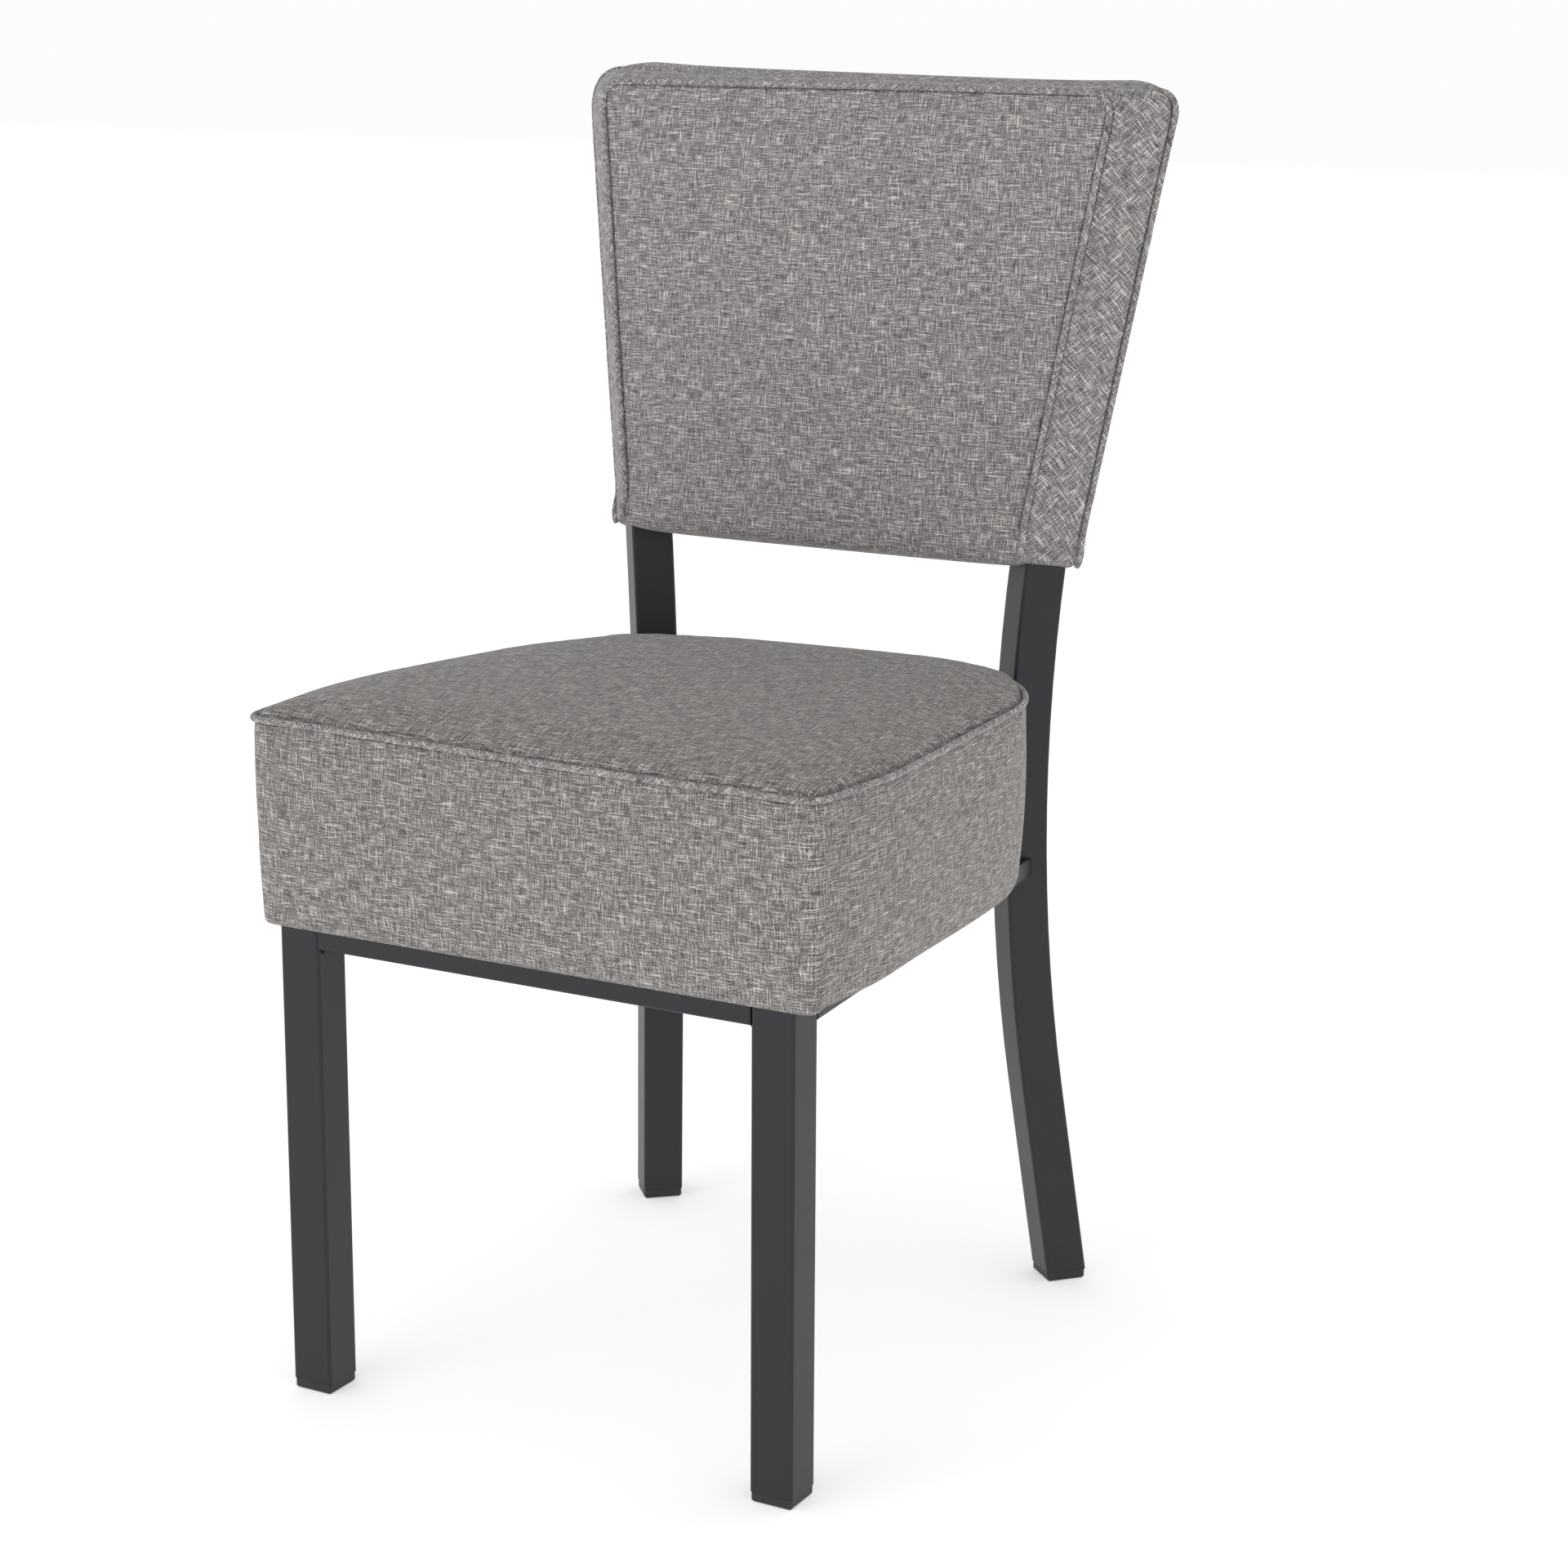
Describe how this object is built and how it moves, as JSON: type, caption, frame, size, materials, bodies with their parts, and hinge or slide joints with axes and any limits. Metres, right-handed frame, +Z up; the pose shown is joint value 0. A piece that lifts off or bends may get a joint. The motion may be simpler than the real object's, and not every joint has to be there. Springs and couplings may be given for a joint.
{
  "type": "dining chair",
  "caption": "Upholstered dining chair: box seat cushion and flared padded back on a welded square-tube steel frame with curved rear posts.",
  "frame": {"origin": "centre of the whole chair's footprint, on the floor", "axes": "+Z up, -Y is the front of the seat, +X is the sitter's left"},
  "size_m": [0.5026, 0.5174, 0.9149],
  "materials": {
    "frame_paint": "charcoal powder coat, satin, fine texture",
    "black_plastic": "moulded polypropylene, matt",
    "fabric": "heathered grey linen-look upholstery weave",
    "foam": "polyurethane foam",
    "wadding": "polyester wadding",
    "plywood": "raw plywood",
    "dust_cloth": "black non-woven cloth",
    "zinc_steel": "zinc-plated steel"
  },
  "bodies": {
    "root": {"back_board": "plywood", "back_board_screws": "zinc_steel", "back_bottom_cover": "fabric", "back_boxing": "fabric", "back_foam_front": "foam", "back_foam_rear": "foam", "back_front_cover": "fabric", "back_front_welt": "fabric", "back_rail_lower": "frame_paint", "back_rail_upper": "frame_paint", "back_rear_cover": "fabric", "back_rear_welt": "fabric", "front_leg_left": "frame_paint", "front_leg_right": "frame_paint", "front_rail": "frame_paint", "glide_front_left": "black_plastic", "glide_front_right": "black_plastic", "glide_rear_left": "black_plastic", "glide_rear_right": "black_plastic", "post_top_caps": "black_plastic", "rear_post_left": "frame_paint", "rear_post_right": "frame_paint", "rear_rail": "frame_paint", "seat_board": "plywood", "seat_boxing": "fabric", "seat_brackets": "frame_paint", "seat_dust_cover": "dust_cloth", "seat_foam": "foam", "seat_screws": "zinc_steel", "seat_t_nuts": "zinc_steel", "seat_top_cover": "fabric", "seat_wadding": "wadding", "seat_washers": "zinc_steel", "seat_welt": "fabric", "side_rail_left": "frame_paint", "side_rail_right": "frame_paint", "weld_beads": "frame_paint"}
  },
  "joints": []
}
